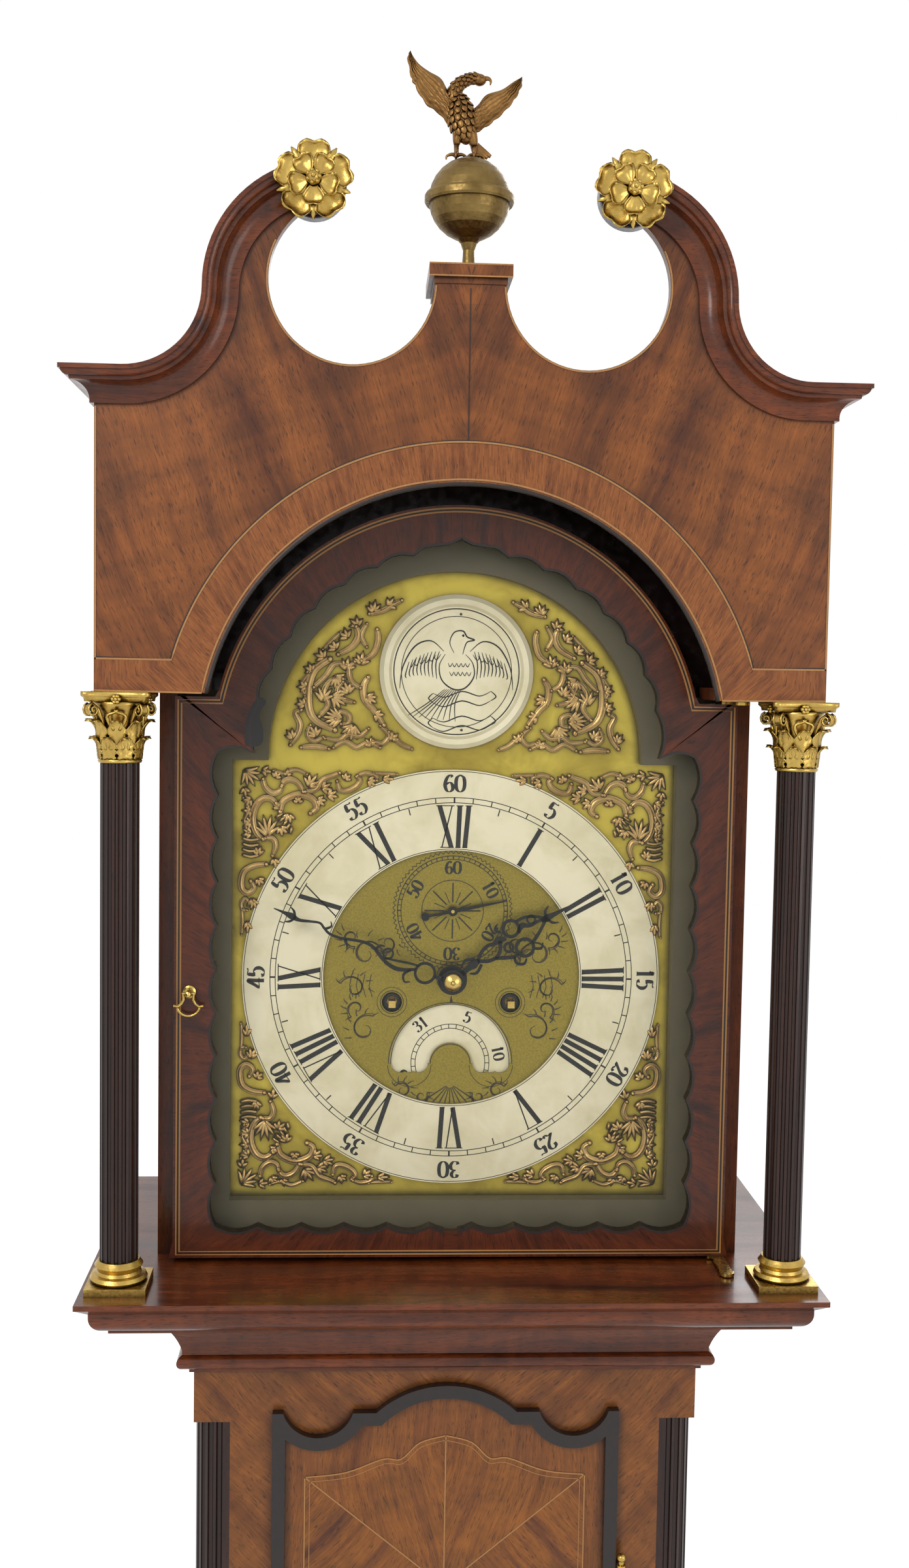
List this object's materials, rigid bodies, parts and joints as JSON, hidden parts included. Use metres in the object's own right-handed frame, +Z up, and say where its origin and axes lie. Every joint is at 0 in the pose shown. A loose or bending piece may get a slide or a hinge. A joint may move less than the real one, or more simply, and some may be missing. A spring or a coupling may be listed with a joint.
{
  "type": "longcase clock",
  "caption": "Tall wooden pendulum clock with swan-neck hood, arched brass dial, free columns and weight-driven movement behind opening doors.",
  "frame": {"origin": "on the floor, midway across the width and the depth", "axes": "+Z up, front and dial face -Y, +X to the right seen from the front"},
  "size_m": [0.502, 0.292, 2.3037],
  "materials": {
    "mahogany": "french polished",
    "ebonised_wood": "ebonised, polished",
    "oak_carcase": "plain",
    "brass": "polished",
    "gilt_brass": "lacquered, aged",
    "dial_brass": "matted and lacquered",
    "silvered_brass": "silvered",
    "blued_steel": "blued",
    "steel": "bright",
    "glass": "clear",
    "gut": "varnished gut"
  },
  "bodies": {
    "case": {"base_carcase": "mahogany", "base_mouldings": "mahogany", "backboard": "oak_carcase", "trunk_sides": "mahogany", "trunk_front_frame": "mahogany", "trunk_corner_columns": "ebonised_wood", "throat_moulding": "mahogany", "seatboard": "oak_carcase", "trunk_hinge_pins": "brass", "movement_front_plate": "brass", "movement_back_plate": "brass", "movement_pillars": "brass", "dial_plate": "dial_brass", "chapter_ring": "silvered_brass", "dial_spandrels": "gilt_brass", "arch_boss": "silvered_brass", "bell": "brass", "suspension_cock": "brass", "going_line": "gut", "strike_line": "gut"},
    "hood": {"hood_carcase": "mahogany", "hood_tympanum": "mahogany", "swan_neck_cornices": "mahogany", "rosettes": "gilt_brass", "finial_ball": "brass", "eagle_finial": "gilt_brass", "column_shafts": "ebonised_wood", "column_capitals": "gilt_brass", "column_bases": "gilt_brass", "hood_base_moulding": "mahogany", "dial_mask": "oak_carcase"},
    "hood_door": {"hood_door_frame": "mahogany", "hood_door_glass": "glass", "hood_door_brasses": "brass"},
    "hood_door_bail": {"hood_door_bail": "brass"},
    "trunk_door": {"trunk_door": "mahogany", "trunk_door_lip": "ebonised_wood", "trunk_hinge_knuckles": "brass", "trunk_door_escutcheon": "brass"},
    "pendulum": {"pendulum_rod": "steel", "pendulum_bob": "brass"},
    "anchor": {"anchor_and_crutch": "steel"},
    "minute_arbor": {"minute_hand": "blued_steel", "cannon_pinion": "brass"},
    "minute_wheel": {"minute_wheel": "brass"},
    "hour_arbor": {"hour_wheel": "brass", "hour_hand": "blued_steel"},
    "date_disc": {"date_disc": "silvered_brass"},
    "going_great_wheel": {"going_great_wheel": "brass"},
    "centre_arbor": {"centre_wheel": "brass"},
    "third_arbor": {"third_wheel": "brass"},
    "escape_arbor": {"escape_wheel": "brass", "seconds_hand": "blued_steel"},
    "strike_great_wheel": {"strike_great_wheel": "brass"},
    "pin_wheel_arbor": {"strike_pin_wheel": "brass"},
    "hammer": {"hammer": "steel"},
    "going_barrel": {"going_barrel": "brass"},
    "strike_barrel": {"strike_barrel": "brass"},
    "going_weight": {"going_weight": "brass"},
    "strike_weight": {"strike_weight": "brass"}
  },
  "joints": [
    {"name": "hood_slide", "type": "slide", "parent": "case", "child": "hood", "axis": [0, -1, 0], "range_m": [0, 0.24]},
    {"name": "hood_door_swing", "type": "hinge", "parent": "hood", "child": "hood_door", "pos_m": [0.184, -0.084, 1.514], "axis": [0, 0, 1], "range_deg": [0, 100]},
    {"name": "hood_door_bail_swing", "type": "hinge", "parent": "hood_door", "child": "hood_door_bail", "pos_m": [-0.1775, -0.06, 1.6958], "axis": [1, 0, 0], "range_deg": [-80, 0]},
    {"name": "trunk_door_swing", "type": "hinge", "parent": "case", "child": "trunk_door", "pos_m": [0.1239, -0.0455, 1], "axis": [0, 0, 1], "range_deg": [0, 105]},
    {"name": "pendulum_swing", "type": "hinge", "parent": "case", "child": "pendulum", "pos_m": [0, 0.0998, 1.77], "axis": [0, 1, 0], "range_deg": [-2.5, 2.5]},
    {"name": "anchor_rock", "type": "hinge", "parent": "case", "child": "anchor", "pos_m": [0, 0.0998, 1.77], "axis": [0, 1, 0], "range_deg": [-2.5, 2.5]},
    {"name": "minute_turn", "type": "hinge", "parent": "case", "child": "minute_arbor", "pos_m": [0, 0, 1.699], "axis": [0, 1, 0], "continuous": true},
    {"name": "minute_wheel_turn", "type": "hinge", "parent": "case", "child": "minute_wheel", "pos_m": [0, 0, 1.669], "axis": [0, 1, 0], "continuous": true},
    {"name": "hour_turn", "type": "hinge", "parent": "case", "child": "hour_arbor", "pos_m": [0, 0, 1.699], "axis": [0, 1, 0], "continuous": true},
    {"name": "date_turn", "type": "hinge", "parent": "case", "child": "date_disc", "pos_m": [0, 0, 1.638], "axis": [0, 1, 0], "continuous": true},
    {"name": "third_turn", "type": "hinge", "parent": "case", "child": "third_arbor", "pos_m": [0.00731, 0, 1.7252], "axis": [0, 1, 0], "continuous": true},
    {"name": "centre_turn", "type": "hinge", "parent": "case", "child": "centre_arbor", "pos_m": [0, 0, 1.699], "axis": [0, 1, 0], "continuous": true},
    {"name": "great_turn", "type": "hinge", "parent": "case", "child": "going_great_wheel", "pos_m": [0.0414, 0, 1.6815], "axis": [0, 1, 0], "continuous": true},
    {"name": "escape_turn", "type": "hinge", "parent": "case", "child": "escape_arbor", "pos_m": [0, 0, 1.746], "axis": [0, 1, 0], "continuous": true},
    {"name": "strike_great_turn", "type": "hinge", "parent": "case", "child": "strike_great_wheel", "pos_m": [-0.0414, 0, 1.6815], "axis": [0, 1, 0], "continuous": true},
    {"name": "pin_wheel_turn", "type": "hinge", "parent": "case", "child": "pin_wheel_arbor", "pos_m": [-0.03, 0, 1.71942], "axis": [0, 1, 0], "continuous": true},
    {"name": "hammer_lift", "type": "hinge", "parent": "case", "child": "hammer", "pos_m": [-0.048, 0, 1.752], "axis": [0, 1, 0], "range_deg": [-10, 0], "stiffness_Nm_per_rad": 0.05, "springref_deg": 5.73},
    {"name": "going_weight_travel", "type": "slide", "parent": "case", "child": "going_weight", "axis": [0, 0, 1], "range_m": [0, 1.09861], "deforming": ["going_line"]},
    {"name": "going_winding", "type": "hinge", "parent": "case", "child": "going_barrel", "pos_m": [0.0414, 0, 1.6815], "axis": [0, -1, 0], "range_deg": [0, 4681]},
    {"name": "strike_weight_travel", "type": "slide", "parent": "case", "child": "strike_weight", "axis": [0, 0, 1], "range_m": [0, 1.09861], "deforming": ["strike_line"]},
    {"name": "strike_winding", "type": "hinge", "parent": "case", "child": "strike_barrel", "pos_m": [-0.0414, 0, 1.6815], "axis": [0, 1, 0], "range_deg": [0, 4681]}
  ],
  "couplings": [
    {"joint": "anchor_rock", "follows": "pendulum_swing", "ratio": 1},
    {"joint": "minute_wheel_turn", "follows": "minute_turn", "ratio": -1},
    {"joint": "hour_turn", "follows": "minute_turn", "ratio": 0.083333},
    {"joint": "centre_turn", "follows": "third_turn", "ratio": -0.13333},
    {"joint": "great_turn", "follows": "third_turn", "ratio": 0.011111},
    {"joint": "escape_turn", "follows": "third_turn", "ratio": -8},
    {"joint": "pin_wheel_turn", "follows": "strike_great_turn", "ratio": -10.5},
    {"joint": "going_winding", "follows": "going_weight_travel", "rad_per_m": 74.349},
    {"joint": "strike_winding", "follows": "strike_weight_travel", "rad_per_m": 74.349}
  ]
}
